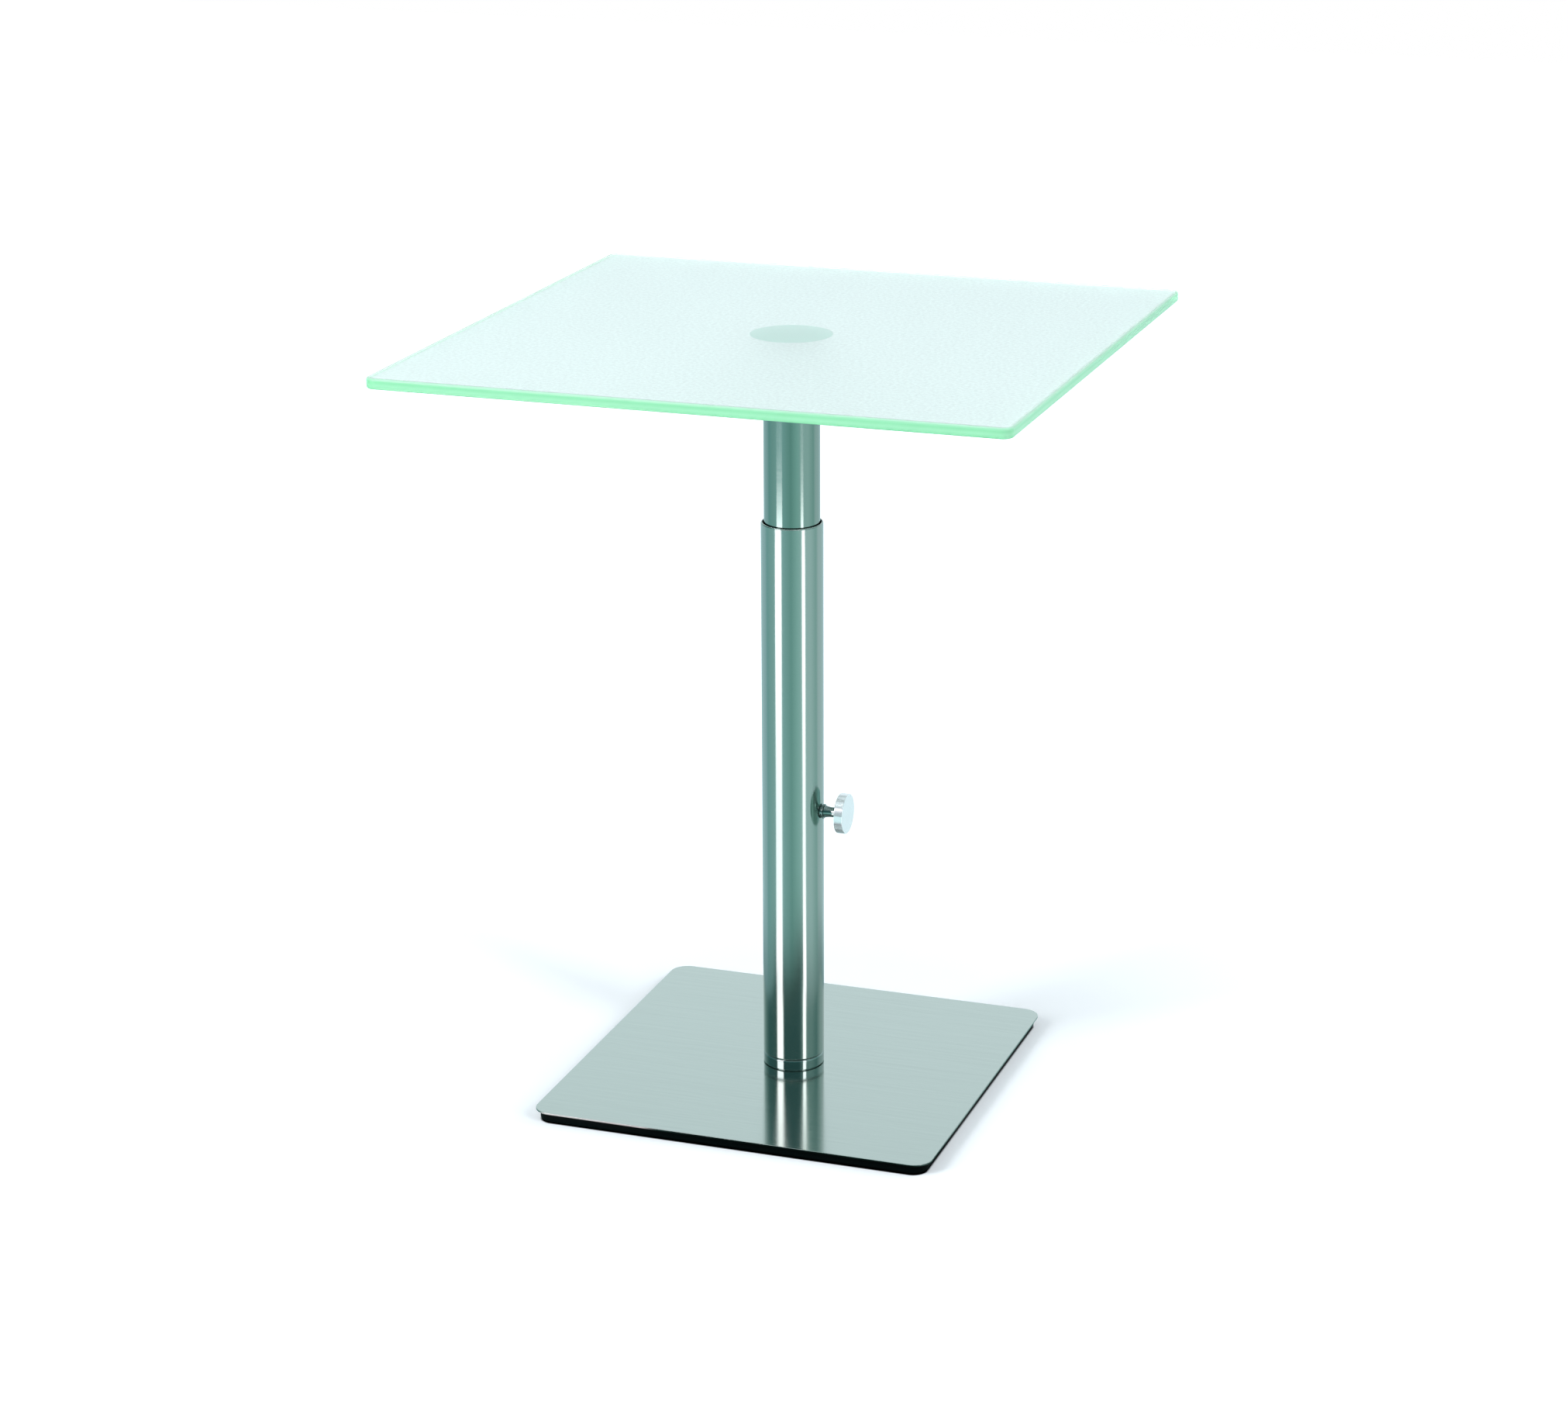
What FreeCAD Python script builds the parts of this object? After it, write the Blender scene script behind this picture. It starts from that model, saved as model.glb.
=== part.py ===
import FreeCAD, Part
import os
import re
import Sketcher

# A height-adjustable pedestal table: a square satin glass top on a telescopic
# round column, held at its height by a clamp knob, on a weighted square base.
# Frame: millimetres, +Z up, origin on the floor under the column's axis,
# the knob points along +X and the sides of the top lie along X and Y.

doc = FreeCAD.newDocument("adjustable_table")
sheet = doc.addObject("Spreadsheet::Sheet", "Sizes")

# Driving dimensions, in millimetres
sizes = [
    # glass top and the disc bonded under it
    ("top_side", 600.0),
    ("glass_thick", 10.0),
    ("glass_corner", 10.0),
    ("glass_arris", 2.0),
    ("bond_thick", 0.2),
    ("bond_margin", 1.0),
    ("disc_across", 80.0),
    ("disc_thick", 8.0),
    ("disc_edge", 0.6),
    ("top_stud_across", 10.0),
    ("top_stud_in_disc", 6.0),
    ("top_stud_in_plug", 18.0),
    # inner tube, which slides and turns in the outer one
    ("inner_across", 54.0),
    ("inner_wall", 1.5),
    ("inner_shown", 165.3),
    ("inner_below_clamp", 60.0),
    ("top_plug_length", 25.0),
    ("end_plug_length", 20.0),
    ("end_plug_vent", 16.0),
    ("ring_neck_across", 44.0),
    ("ring_height", 12.0),
    ("ring_gap", 0.2),
    ("retainer_across", 52.0),
    ("retainer_thick", 4.0),
    # outer tube and its guide
    ("outer_across", 60.0),
    ("outer_wall", 1.5),
    ("outer_length", 543.0),
    ("rim_round", 1.2),
    ("tube_foot_round", 1.2),
    ("bush_length", 40.0),
    ("bush_recess", 5.0),
    # clamp
    ("clamp_height", 254.2),
    ("boss_across", 14.6),
    ("boss_root_across", 12.0),
    ("boss_proud", 2.6),
    ("boss_flange", 1.4),
    ("boss_round", 0.5),
    ("barrel_across", 10.0),
    ("barrel_recess", 0.1),
    ("clamp_stud_across", 6.0),
    ("stud_in_head", 5.5),
    ("neck_gap", 0.4),
    ("neck_length", 14.7),
    ("neck_end_across", 12.2),
    ("neck_waist_across", 9.8),
    ("head_across", 39.0),
    ("head_thick", 8.7),
    ("head_edge", 0.6),
    ("pad_across", 5.0),
    ("pad_length", 1.5),
    ("pad_gap", 0.3),
    ("pad_spigot_across", 2.5),
    ("pad_spigot_length", 3.0),
    ("thrust_gap", 0.05),
    # foot of the column
    ("collar_height", 11.5),
    ("collar_round", 2.0),
    ("foot_neck_across", 40.0),
    ("foot_plug_length", 20.0),
    ("buffer_across", 36.0),
    ("buffer_thick", 7.0),
    ("buffer_edge", 1.0),
    ("bolt_across", 12.0),
    ("bolt_head_across", 24.0),
    ("bolt_in_plug", 22.0),
    ("bolt_recess", 0.5),
    ("bolt_tip_gap", 1.5),
    ("bolt_socket_across", 9.2),
    ("bolt_socket_depth", 4.0),
    ("bolt_hole_gap", 0.5),
    ("dowel_across", 6.0),
    ("dowel_spread", 28.0),
    ("dowel_in_plug", 8.0),
    ("dowel_in_plate", 5.0),
    # base
    ("base_side", 400.0),
    ("base_corner", 18.0),
    ("sheet_thick", 1.5),
    ("sheet_edge", 0.3),
    ("plate_inset", 4.0),
    ("plate_corner", 15.0),
    ("plate_thick", 9.0),
    ("plate_edge", 1.2),
    ("foot_across", 26.0),
    ("foot_height", 1.5),
    ("foot_edge", 0.8),
    ("foot_inset", 41.0),
    ("peg_across", 8.0),
    ("peg_length", 5.0),
    # radial play of parts that slide or turn, and of parts that are pressed or screwed home
    ("running_gap", 0.05),
    ("press_gap", 0.02),
]
for row, (name, size) in enumerate(sizes, start=1):
    sheet.set("A%d" % row, name)
    sheet.set("B%d" % row, str(size))
    sheet.setAlias("B%d" % row, name)
doc.recompute()

# Levels above the floor, each stacked on the one below
plate_base = "foot_height"
sheet_base = plate_base + " + plate_thick"
collar_base = sheet_base + " + sheet_thick"
tube_base = collar_base + " + collar_height"
rim_level = tube_base + " + outer_length"
disc_base = rim_level + " + inner_shown"
bond_base = disc_base + " + disc_thick"
glass_base = bond_base + " + bond_thick"
clamp_level = tube_base + " + clamp_height"
inner_base = clamp_level + " - inner_below_clamp"
ring_base = inner_base + " - ring_gap - ring_height"
retainer_base = ring_base + " - ring_gap - retainer_thick"

# Distances from the column's axis along the clamp
pad_tip = "inner_across / 2 + pad_gap"
stud_tip = pad_tip + " + pad_length + thrust_gap"
barrel_end = "outer_across / 2 - outer_wall + barrel_recess"
boss_face = "outer_across / 2 + boss_proud"
neck_base = boss_face + " + neck_gap"
head_base = neck_base + " + neck_length"

# Radii that several pieces share
inner_bore = "inner_across / 2 - inner_wall"
outer_bore = "outer_across / 2 - outer_wall"
stud_seat = "clamp_stud_across / 2 + press_gap"

pieces = []
closeness = 1e-6


def same(one, other):
    return abs(one - other) < closeness


def sized(words):
    return re.sub(r"[a-z_]+", lambda word: "Sizes." + word.group(0), words)


def value(words):
    return float(sheet.evalExpression(words))


def bind(thing, name, words):
    thing.setExpression(name, sized(words))


def keep(piece, label):
    piece.Label = label
    pieces.append(piece)
    return piece


def new_body(label, lift="0", along_x=None):
    body = doc.addObject("PartDesign::Body", label)
    if along_x is not None:
        body.Placement.Rotation = FreeCAD.Rotation(FreeCAD.Vector(0, 1, 0), 90)
        bind(body, "Placement.Base.x", along_x)
    bind(body, "Placement.Base.z", lift)
    return body


def new_sketch(body, name, role):
    sketch = body.newObject("Sketcher::SketchObject", name)
    plane = [part for part in body.Origin.OriginFeatures if part.Role == role][0]
    sketch.AttachmentSupport = [(plane, "")]
    sketch.MapMode = "FlatFace"
    return sketch


# Ties one point of a sketch to its distances from the sketch's origin
def place_point(sketch, line, end, across, up):
    for kind, words, axis in (("DistanceX", across, -2), ("DistanceY", up, -1)):
        if words == "0":
            sketch.addConstraint(Sketcher.Constraint("PointOnObject", line, end, axis))
        else:
            rule = Sketcher.Constraint(kind, -1, 1, line, end, value(words))
            bind(sketch, "Constraints[%d]" % sketch.addConstraint(rule), words)


def draw_outline(sketch, outline):
    corners = [FreeCAD.Vector(value(across), value(up), 0) for across, up in outline]
    count = len(corners)
    for line in range(count):
        sketch.addGeometry(Part.LineSegment(corners[line], corners[(line + 1) % count]))
    for line in range(count):
        sketch.addConstraint(Sketcher.Constraint("Coincident", line, 2, (line + 1) % count, 1))
    for line, (across, up) in enumerate(outline):
        place_point(sketch, line, 1, across, up)


def revolve(body, sketch, kind="PartDesign::Revolution"):
    turn = body.newObject(kind, sketch.Name + "_turned")
    turn.Profile = sketch
    turn.ReferenceAxis = (sketch, ["V_Axis"])
    turn.Angle = 360
    doc.recompute()
    return turn


# A round piece, from half of its section as (radius, height) corners
def turned(label, outline, lift="0", along_x=None):
    body = new_body(label, lift, along_x)
    sketch = new_sketch(body, label + "_section", "XZ_Plane")
    draw_outline(sketch, outline)
    revolve(body, sketch)
    return body


# A square plate with rounded corners, centred on the column's axis
def slab(label, side, thick, corner, lift):
    body = new_body(label, lift)
    sketch = new_sketch(body, label + "_outline", "XY_Plane")
    half = value(side) / 2
    corners = [(-half, -half), (half, -half), (half, half), (-half, half)]
    for line in range(4):
        start = FreeCAD.Vector(*corners[line], 0)
        end = FreeCAD.Vector(*corners[(line + 1) % 4], 0)
        sketch.addGeometry(Part.LineSegment(start, end))
    for line in range(4):
        sketch.addConstraint(Sketcher.Constraint("Coincident", line, 2, (line + 1) % 4, 1))
    for line, rule in enumerate(("Horizontal", "Vertical", "Horizontal", "Vertical")):
        sketch.addConstraint(Sketcher.Constraint(rule, line))
    sketch.addConstraint(Sketcher.Constraint("Symmetric", 0, 1, 2, 1, -1, 1))
    sketch.addConstraint(Sketcher.Constraint("Equal", 0, 1))
    width = sketch.addConstraint(Sketcher.Constraint("DistanceX", 0, 1, 0, 2, 2 * half))
    bind(sketch, "Constraints[%d]" % width, side)
    pad = body.newObject("PartDesign::Pad", label + "_pad")
    pad.Profile = sketch
    bind(pad, "Length", thick)
    doc.recompute()
    dress(body, upright_edges(body), corner)
    return body


def edge_names(body, wanted):
    return ["Edge%d" % number for number, edge in enumerate(body.Tip.Shape.Edges, start=1) if wanted(edge)]


def upright_edges(body):
    height = body.Tip.Shape.BoundBox.ZLength
    return edge_names(body, lambda edge: same(edge.BoundBox.ZLength, height))


def level_edges(body, *levels):
    heights = [value(level) for level in levels]

    def is_level(edge):
        box = edge.BoundBox
        return same(box.ZMin, box.ZMax) and any(same(box.ZMin, height) for height in heights)

    return edge_names(body, is_level)


# The circular edges of a turned piece at one radius and one height
def rims(body, radius, *levels):
    reach = value(radius)
    names = level_edges(body, *levels)
    return [name for name in names if same(body.Tip.Shape.getElement(name).BoundBox.XMax, reach)]


def dress(body, names, radius):
    base = body.Tip
    rounding = body.newObject("PartDesign::Fillet", base.Name + "_rounded")
    rounding.Base = (base, names)
    bind(rounding, "Radius", radius)
    doc.recompute()


# Cuts a sketch's outline out of a body and makes sure that something was removed
def pocket(body, sketch, depth, upwards):
    volume = body.Shape.Volume
    cut = body.newObject("PartDesign::Pocket", sketch.Name + "_cut")
    cut.Profile = sketch
    cut.Reversed = upwards
    bind(cut, "Length", depth)
    doc.recompute()
    if same(body.Shape.Volume, volume):
        raise RuntimeError("nothing cut by " + sketch.Name)
    return cut


# Round holes about the column's axis: one is cut at (across, up) and turned into count holes
def drill(body, name, radius, across, up, depth, count, from_top=None):
    sketch = new_sketch(body, name, "XY_Plane")
    if from_top is not None:
        bind(sketch, "AttachmentOffset.Base.z", from_top)
    centre = FreeCAD.Vector(value(across), value(up), 0)
    sketch.addGeometry(Part.Circle(centre, FreeCAD.Vector(0, 0, 1), value(radius)))
    rule = Sketcher.Constraint("Radius", 0, value(radius))
    bind(sketch, "Constraints[%d]" % sketch.addConstraint(rule), radius)
    place_point(sketch, 0, 3, across, up)
    cut = pocket(body, sketch, depth, from_top is None)
    if count > 1:
        pattern = body.newObject("PartDesign::PolarPattern", name + "_ring")
        pattern.Originals = [cut]
        pattern.Axis = (sketch, ["N_Axis"])
        pattern.Angle = 360
        pattern.Occurrences = count
        body.Tip = pattern
        doc.recompute()


# Base: thin steel sheet on a black weight plate, on four glides
def make_cover_sheet():
    body = slab("base_cover_sheet", "base_side", "sheet_thick", "base_corner", sheet_base)
    dress(body, level_edges(body, "sheet_thick"), "sheet_edge")
    drill(body, "sheet_bolt_hole", "bolt_across / 2 + bolt_hole_gap", "0", "0", "sheet_thick", 1)
    drill(body, "sheet_dowel_holes", "dowel_across / 2 + press_gap", "dowel_spread / 2", "0", "sheet_thick", 2)
    return keep(body, "base_cover_sheet")


foot_place = "base_side / 2 - plate_inset - foot_inset"


def make_weight_plate():
    body = slab("weight_plate", "base_side - 2 * plate_inset", "plate_thick", "plate_corner", plate_base)
    dress(body, level_edges(body, "0"), "plate_edge")
    sink = new_sketch(body, "bolt_sink", "XZ_Plane")
    hole = "bolt_across / 2 + bolt_hole_gap"
    mouth = "bolt_head_across / 2 + bolt_hole_gap"
    draw_outline(sink, [
        ("0", "0"),
        (mouth, "0"),
        (mouth, "bolt_recess"),
        (hole, "bolt_recess + bolt_head_across / 2 - bolt_across / 2"),
        (hole, "plate_thick"),
        ("0", "plate_thick"),
    ])
    revolve(body, sink, "PartDesign::Groove")
    dowel = "dowel_across / 2 + press_gap"
    drill(body, "plate_dowel_holes", dowel, "dowel_spread / 2", "0", "dowel_in_plate", 2, "plate_thick")
    drill(body, "peg_holes", "peg_across / 2 + press_gap", foot_place, foot_place, "peg_length", 4)
    return keep(body, "weight_plate")


def make_foot_pads():
    for depth_word, depth_sign in (("front", "-1"), ("back", "1")):
        for side_word, side_sign in (("left", "-1"), ("right", "1")):
            label = "foot_pad_%s_%s" % (depth_word, side_word)
            body = turned(label, [
                ("0", "0"),
                ("foot_across / 2", "0"),
                ("foot_across / 2", "foot_height"),
                ("peg_across / 2", "foot_height"),
                ("peg_across / 2", "foot_height + peg_length"),
                ("0", "foot_height + peg_length"),
            ])
            dress(body, rims(body, "foot_across / 2", "0"), "foot_edge")
            bind(body, "Placement.Base.x", "%s * (%s)" % (side_sign, foot_place))
            bind(body, "Placement.Base.y", "%s * (%s)" % (depth_sign, foot_place))
            keep(body, label)


# Foot of the column: a polished collar under the outer tube, drawn down by one bolt
def make_collar():
    body = turned("collar_ring", [
        ("foot_neck_across / 2 + press_gap", "0"),
        ("outer_across / 2", "0"),
        ("outer_across / 2", "collar_height"),
        ("foot_neck_across / 2 + press_gap", "collar_height"),
    ], collar_base)
    dress(body, rims(body, "outer_across / 2", "collar_height"), "collar_round")
    return keep(body, "collar_ring")


def make_foot_plug():
    thread = "bolt_across / 2 + press_gap"
    thread_depth = "bolt_in_plug + bolt_tip_gap"
    plug_top = "collar_height + foot_plug_length"
    body = turned("column_foot_plug", [
        (thread, "0"),
        ("foot_neck_across / 2", "0"),
        ("foot_neck_across / 2", "collar_height"),
        (outer_bore + " - press_gap", "collar_height"),
        (outer_bore + " - press_gap", plug_top),
        ("0", plug_top),
        ("0", thread_depth),
        (thread, thread_depth),
    ], collar_base)
    dowel = "dowel_across / 2 + press_gap"
    drill(body, "plug_dowel_holes", dowel, "dowel_spread / 2", "0", "dowel_in_plug", 2)
    return keep(body, "column_foot_plug")


def make_column_bolt():
    length = "plate_thick - bolt_recess + sheet_thick + bolt_in_plug"
    body = turned("column_bolt", [
        ("0", "0"),
        ("bolt_head_across / 2", "0"),
        ("bolt_across / 2", "bolt_head_across / 2 - bolt_across / 2"),
        ("bolt_across / 2", length),
        ("0", length),
    ], plate_base + " + bolt_recess")
    socket = body.newObject("PartDesign::SubtractivePrism", "bolt_socket")
    socket.Polygon = 6
    bind(socket, "Circumradius", "bolt_socket_across / 2")
    bind(socket, "Height", "bolt_socket_depth")
    doc.recompute()
    return keep(body, "column_bolt")


def make_dowel_pins():
    pins = []
    for side_word, side_sign in (("left", "-1"), ("right", "1")):
        pin = doc.addObject("Part::Cylinder", "dowel_pin_" + side_word)
        bind(pin, "Radius", "dowel_across / 2")
        bind(pin, "Height", "dowel_in_plate + sheet_thick + dowel_in_plug")
        bind(pin, "Placement.Base.x", side_sign + " * dowel_spread / 2")
        bind(pin, "Placement.Base.z", sheet_base + " - dowel_in_plate")
        pins.append(pin)
    group = doc.addObject("Part::Compound", "dowel_pins")
    group.Links = pins
    return keep(group, "dowel_pins")


def make_stop_buffer():
    body = turned("stop_buffer", [
        ("0", "0"),
        ("buffer_across / 2", "0"),
        ("buffer_across / 2", "buffer_thick"),
        ("0", "buffer_thick"),
    ], tube_base + " + foot_plug_length")
    dress(body, rims(body, "buffer_across / 2", "buffer_thick"), "buffer_edge")
    return keep(body, "stop_buffer")


# Outer tube, with the hole for the clamp, and the sleeve that guides the inner tube
def make_outer_tube():
    body = turned("outer_tube", [
        (outer_bore, "0"),
        ("outer_across / 2", "0"),
        ("outer_across / 2", "outer_length"),
        (outer_bore, "outer_length"),
    ], tube_base)
    dress(body, rims(body, "outer_across / 2", "outer_length"), "rim_round")
    dress(body, rims(body, "outer_across / 2", "0"), "tube_foot_round")
    sketch = new_sketch(body, "clamp_hole", "YZ_Plane")
    radius = "barrel_across / 2 + press_gap"
    centre = FreeCAD.Vector(0, value("clamp_height"), 0)
    sketch.addGeometry(Part.Circle(centre, FreeCAD.Vector(0, 0, 1), value(radius)))
    rule = Sketcher.Constraint("Radius", 0, value(radius))
    bind(sketch, "Constraints[%d]" % sketch.addConstraint(rule), radius)
    place_point(sketch, 0, 3, "0", "clamp_height")
    pocket(body, sketch, "outer_across", True)
    return keep(body, "outer_tube")


def make_upper_bush():
    body = turned("upper_guide_bush", [
        ("inner_across / 2 + running_gap", "0"),
        (outer_bore + " - press_gap", "0"),
        (outer_bore + " - press_gap", "bush_length"),
        ("inner_across / 2 + running_gap", "bush_length"),
    ], rim_level + " - bush_recess - bush_length")
    return keep(body, "upper_guide_bush")


# Clamp: threaded boss in the tube's wall, stud with a pressure pad, and the knob
def make_clamp_boss():
    length = boss_face + " - (%s)" % barrel_end
    flange = length + " - boss_flange"
    thread = "clamp_stud_across / 2 + running_gap"
    body = turned("boss_blank", [
        (thread, "0"),
        ("boss_root_across / 2", "0"),
        ("boss_root_across / 2", flange),
        ("boss_across / 2", flange),
        ("boss_across / 2", length),
        (thread, length),
    ], clamp_level, barrel_end)
    dress(body, rims(body, "boss_across / 2", flange, length), "boss_round")
    column = doc.addObject("Part::Cylinder", "column_core")
    bind(column, "Radius", "outer_across / 2 + press_gap")
    bind(column, "Height", "outer_length")
    bind(column, "Placement.Base.z", tube_base)
    barrel = doc.addObject("Part::Cylinder", "barrel_core")
    barrel.Placement.Rotation = FreeCAD.Rotation(FreeCAD.Vector(0, 1, 0), 90)
    bind(barrel, "Radius", "barrel_across / 2")
    bind(barrel, "Height", "outer_across")
    bind(barrel, "Placement.Base.z", clamp_level)
    saddle = doc.addObject("Part::Cut", "boss_saddle")
    saddle.Base = column
    saddle.Tool = barrel
    boss = doc.addObject("Part::Cut", "clamp_boss")
    boss.Base = body
    boss.Tool = saddle
    return keep(boss, "clamp_boss")


def make_clamp_pad():
    whole = "pad_length + pad_spigot_length"
    body = turned("clamp_pad", [
        ("0", "0"),
        ("pad_across / 2", "0"),
        ("pad_across / 2", "pad_length"),
        ("pad_spigot_across / 2", "pad_length"),
        ("pad_spigot_across / 2", whole),
        ("0", whole),
    ], clamp_level, pad_tip)
    return keep(body, "clamp_pad")


def make_clamp_stud():
    length = head_base + " + stud_in_head - (%s)" % stud_tip
    bore = "pad_spigot_across / 2 + running_gap"
    body = turned("clamp_stud", [
        (bore, "0"),
        ("clamp_stud_across / 2", "0"),
        ("clamp_stud_across / 2", length),
        ("0", length),
        ("0", "pad_spigot_length"),
        (bore, "pad_spigot_length"),
    ], clamp_level, stud_tip)
    return keep(body, "clamp_stud")


# The neck is waisted: its outside is one arc between two equal ends
def make_knob_neck():
    body = new_body("knob_neck", clamp_level, neck_base)
    sketch = new_sketch(body, "knob_neck_section", "XZ_Plane")
    bore = value(stud_seat)
    end = value("neck_end_across / 2")
    waist = value("neck_waist_across / 2")
    length = value("neck_length")
    inner_low = FreeCAD.Vector(bore, 0, 0)
    outer_low = FreeCAD.Vector(end, 0, 0)
    middle = FreeCAD.Vector(waist, length / 2, 0)
    outer_high = FreeCAD.Vector(end, length, 0)
    inner_high = FreeCAD.Vector(bore, length, 0)
    sketch.addGeometry(Part.LineSegment(inner_low, outer_low))
    sketch.addGeometry(Part.Arc(outer_low, middle, outer_high))
    sketch.addGeometry(Part.LineSegment(outer_high, inner_high))
    sketch.addGeometry(Part.LineSegment(inner_high, inner_low))
    # the arc runs from its upper end to its lower one
    for joint in ((0, 2, 1, 2), (1, 1, 2, 1), (2, 2, 3, 1), (3, 2, 0, 1)):
        sketch.addConstraint(Sketcher.Constraint("Coincident", *joint))
    place_point(sketch, 0, 1, stud_seat, "0")
    place_point(sketch, 0, 2, "neck_end_across / 2", "0")
    place_point(sketch, 2, 1, "neck_end_across / 2", "neck_length")
    place_point(sketch, 2, 2, stud_seat, "neck_length")
    dip = "(neck_end_across - neck_waist_across)"
    bend = "neck_length * neck_length / (4 * %s) + %s / 4" % (dip, dip)
    rule = Sketcher.Constraint("Radius", 1, value(bend))
    bind(sketch, "Constraints[%d]" % sketch.addConstraint(rule), bend)
    revolve(body, sketch)
    return keep(body, "knob_neck")


def make_knob_head():
    body = turned("knob_head", [
        (stud_seat, "0"),
        ("head_across / 2", "0"),
        ("head_across / 2", "head_thick"),
        ("0", "head_thick"),
        ("0", "stud_in_head"),
        (stud_seat, "stud_in_head"),
    ], clamp_level, head_base)
    dress(body, rims(body, "head_across / 2", "0", "head_thick"), "head_edge")
    return keep(body, "knob_head")


# Inner tube with a plug at each end; the lower plug carries the guide ring
def make_inner_tube():
    length = "outer_length + inner_shown - clamp_height + inner_below_clamp"
    body = turned("inner_tube", [
        (inner_bore, "0"),
        ("inner_across / 2", "0"),
        ("inner_across / 2", length),
        (inner_bore, length),
    ], inner_base)
    return keep(body, "inner_tube")


def make_end_plug():
    neck_top = "retainer_thick + 2 * ring_gap + ring_height"
    plug_top = neck_top + " + end_plug_length"
    body = turned("inner_end_plug", [
        ("end_plug_vent / 2", "0"),
        ("retainer_across / 2", "0"),
        ("retainer_across / 2", "retainer_thick"),
        ("ring_neck_across / 2", "retainer_thick"),
        ("ring_neck_across / 2", neck_top),
        (inner_bore + " - press_gap", neck_top),
        (inner_bore + " - press_gap", plug_top),
        ("end_plug_vent / 2", plug_top),
    ], retainer_base)
    return keep(body, "inner_end_plug")


def make_lower_ring():
    body = turned("lower_guide_ring", [
        ("ring_neck_across / 2 + running_gap", "0"),
        (outer_bore + " - running_gap", "0"),
        (outer_bore + " - running_gap", "ring_height"),
        ("ring_neck_across / 2 + running_gap", "ring_height"),
    ], ring_base)
    return keep(body, "lower_guide_ring")


def make_top_plug():
    thread = "top_stud_across / 2 + press_gap"
    thread_floor = "top_plug_length - top_stud_in_plug"
    body = turned("inner_top_plug", [
        ("0", "0"),
        (inner_bore + " - press_gap", "0"),
        (inner_bore + " - press_gap", "top_plug_length"),
        (thread, "top_plug_length"),
        (thread, thread_floor),
        ("0", thread_floor),
    ], disc_base + " - top_plug_length")
    return keep(body, "inner_top_plug")


# Top: disc screwed onto the inner tube and bonded to the glass
def make_top_stud():
    length = "top_stud_in_plug + top_stud_in_disc"
    body = turned("disc_stud", [
        ("0", "0"),
        ("top_stud_across / 2", "0"),
        ("top_stud_across / 2", length),
        ("0", length),
    ], disc_base + " - top_stud_in_plug")
    return keep(body, "disc_stud")


def make_top_disc():
    thread = "top_stud_across / 2 + press_gap"
    body = turned("top_disc", [
        (thread, "0"),
        ("disc_across / 2", "0"),
        ("disc_across / 2", "disc_thick"),
        ("0", "disc_thick"),
        ("0", "top_stud_in_disc"),
        (thread, "top_stud_in_disc"),
    ], disc_base)
    dress(body, rims(body, "disc_across / 2", "0", "disc_thick"), "disc_edge")
    return keep(body, "top_disc")


def make_bond_film():
    radius = "disc_across / 2 - bond_margin"
    body = turned("bond_film", [
        ("0", "0"),
        (radius, "0"),
        (radius, "bond_thick"),
        ("0", "bond_thick"),
    ], bond_base)
    return keep(body, "bond_film")


def make_glass_top():
    body = slab("glass_top", "top_side", "glass_thick", "glass_corner", glass_base)
    dress(body, level_edges(body, "0", "glass_thick"), "glass_arris")
    return keep(body, "glass_top")


make_cover_sheet()
make_weight_plate()
make_foot_pads()
make_collar()
make_foot_plug()
make_column_bolt()
make_dowel_pins()
make_stop_buffer()
make_outer_tube()
make_upper_bush()
make_clamp_boss()
make_clamp_pad()
make_clamp_stud()
make_knob_neck()
make_knob_head()
make_inner_tube()
make_end_plug()
make_lower_ring()
make_top_plug()
make_top_stud()
make_top_disc()
make_bond_film()
make_glass_top()

doc.recompute()
for thing in doc.Objects:
    if "Invalid" in thing.State or "Error" in thing.State:
        raise RuntimeError("%s is %s" % (thing.Label, thing.State))
for piece in pieces:
    if piece.Shape.isNull() or not piece.Shape.isValid():
        raise RuntimeError(piece.Label + " has no valid shape")

os.makedirs("parts", exist_ok=True)
for piece in pieces:
    piece.Shape.exportStep("parts/%s.step" % piece.Label)
    box = piece.Shape.optimalBoundingBox()
    print("%-22s volume %10.1f  z %7.2f to %7.2f  x %7.2f to %7.2f" % (
        piece.Label, piece.Shape.Volume, box.ZMin, box.ZMax, box.XMin, box.XMax))
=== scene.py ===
import bmesh
import bpy
import math
from mathutils import Matrix, Vector


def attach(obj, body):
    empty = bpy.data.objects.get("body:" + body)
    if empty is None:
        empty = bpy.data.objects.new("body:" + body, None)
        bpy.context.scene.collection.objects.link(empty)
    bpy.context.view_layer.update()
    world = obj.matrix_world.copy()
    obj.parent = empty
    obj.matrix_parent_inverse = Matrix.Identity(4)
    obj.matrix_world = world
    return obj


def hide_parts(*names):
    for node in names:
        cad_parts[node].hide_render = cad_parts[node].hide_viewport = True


# Height-adjustable table: satin glass top, telescopic stainless column, weighted base
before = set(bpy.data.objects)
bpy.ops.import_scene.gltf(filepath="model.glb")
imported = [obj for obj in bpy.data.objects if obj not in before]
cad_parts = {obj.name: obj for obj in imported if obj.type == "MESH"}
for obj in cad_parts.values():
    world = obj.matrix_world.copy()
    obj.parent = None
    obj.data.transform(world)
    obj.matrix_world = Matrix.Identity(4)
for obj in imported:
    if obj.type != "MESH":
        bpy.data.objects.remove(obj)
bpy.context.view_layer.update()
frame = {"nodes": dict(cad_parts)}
scene = bpy.context.scene
nodes = frame["nodes"]
print("frame loaded:", len(nodes), "nodes")


def hexColour(code):
    parts = [int(code[i:i + 2], 16) / 255 for i in (1, 3, 5)]
    return tuple(c / 12.92 if c <= 0.04045 else ((c + 0.055) / 1.055) ** 2.4 for c in parts) + (1.0,)


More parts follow.
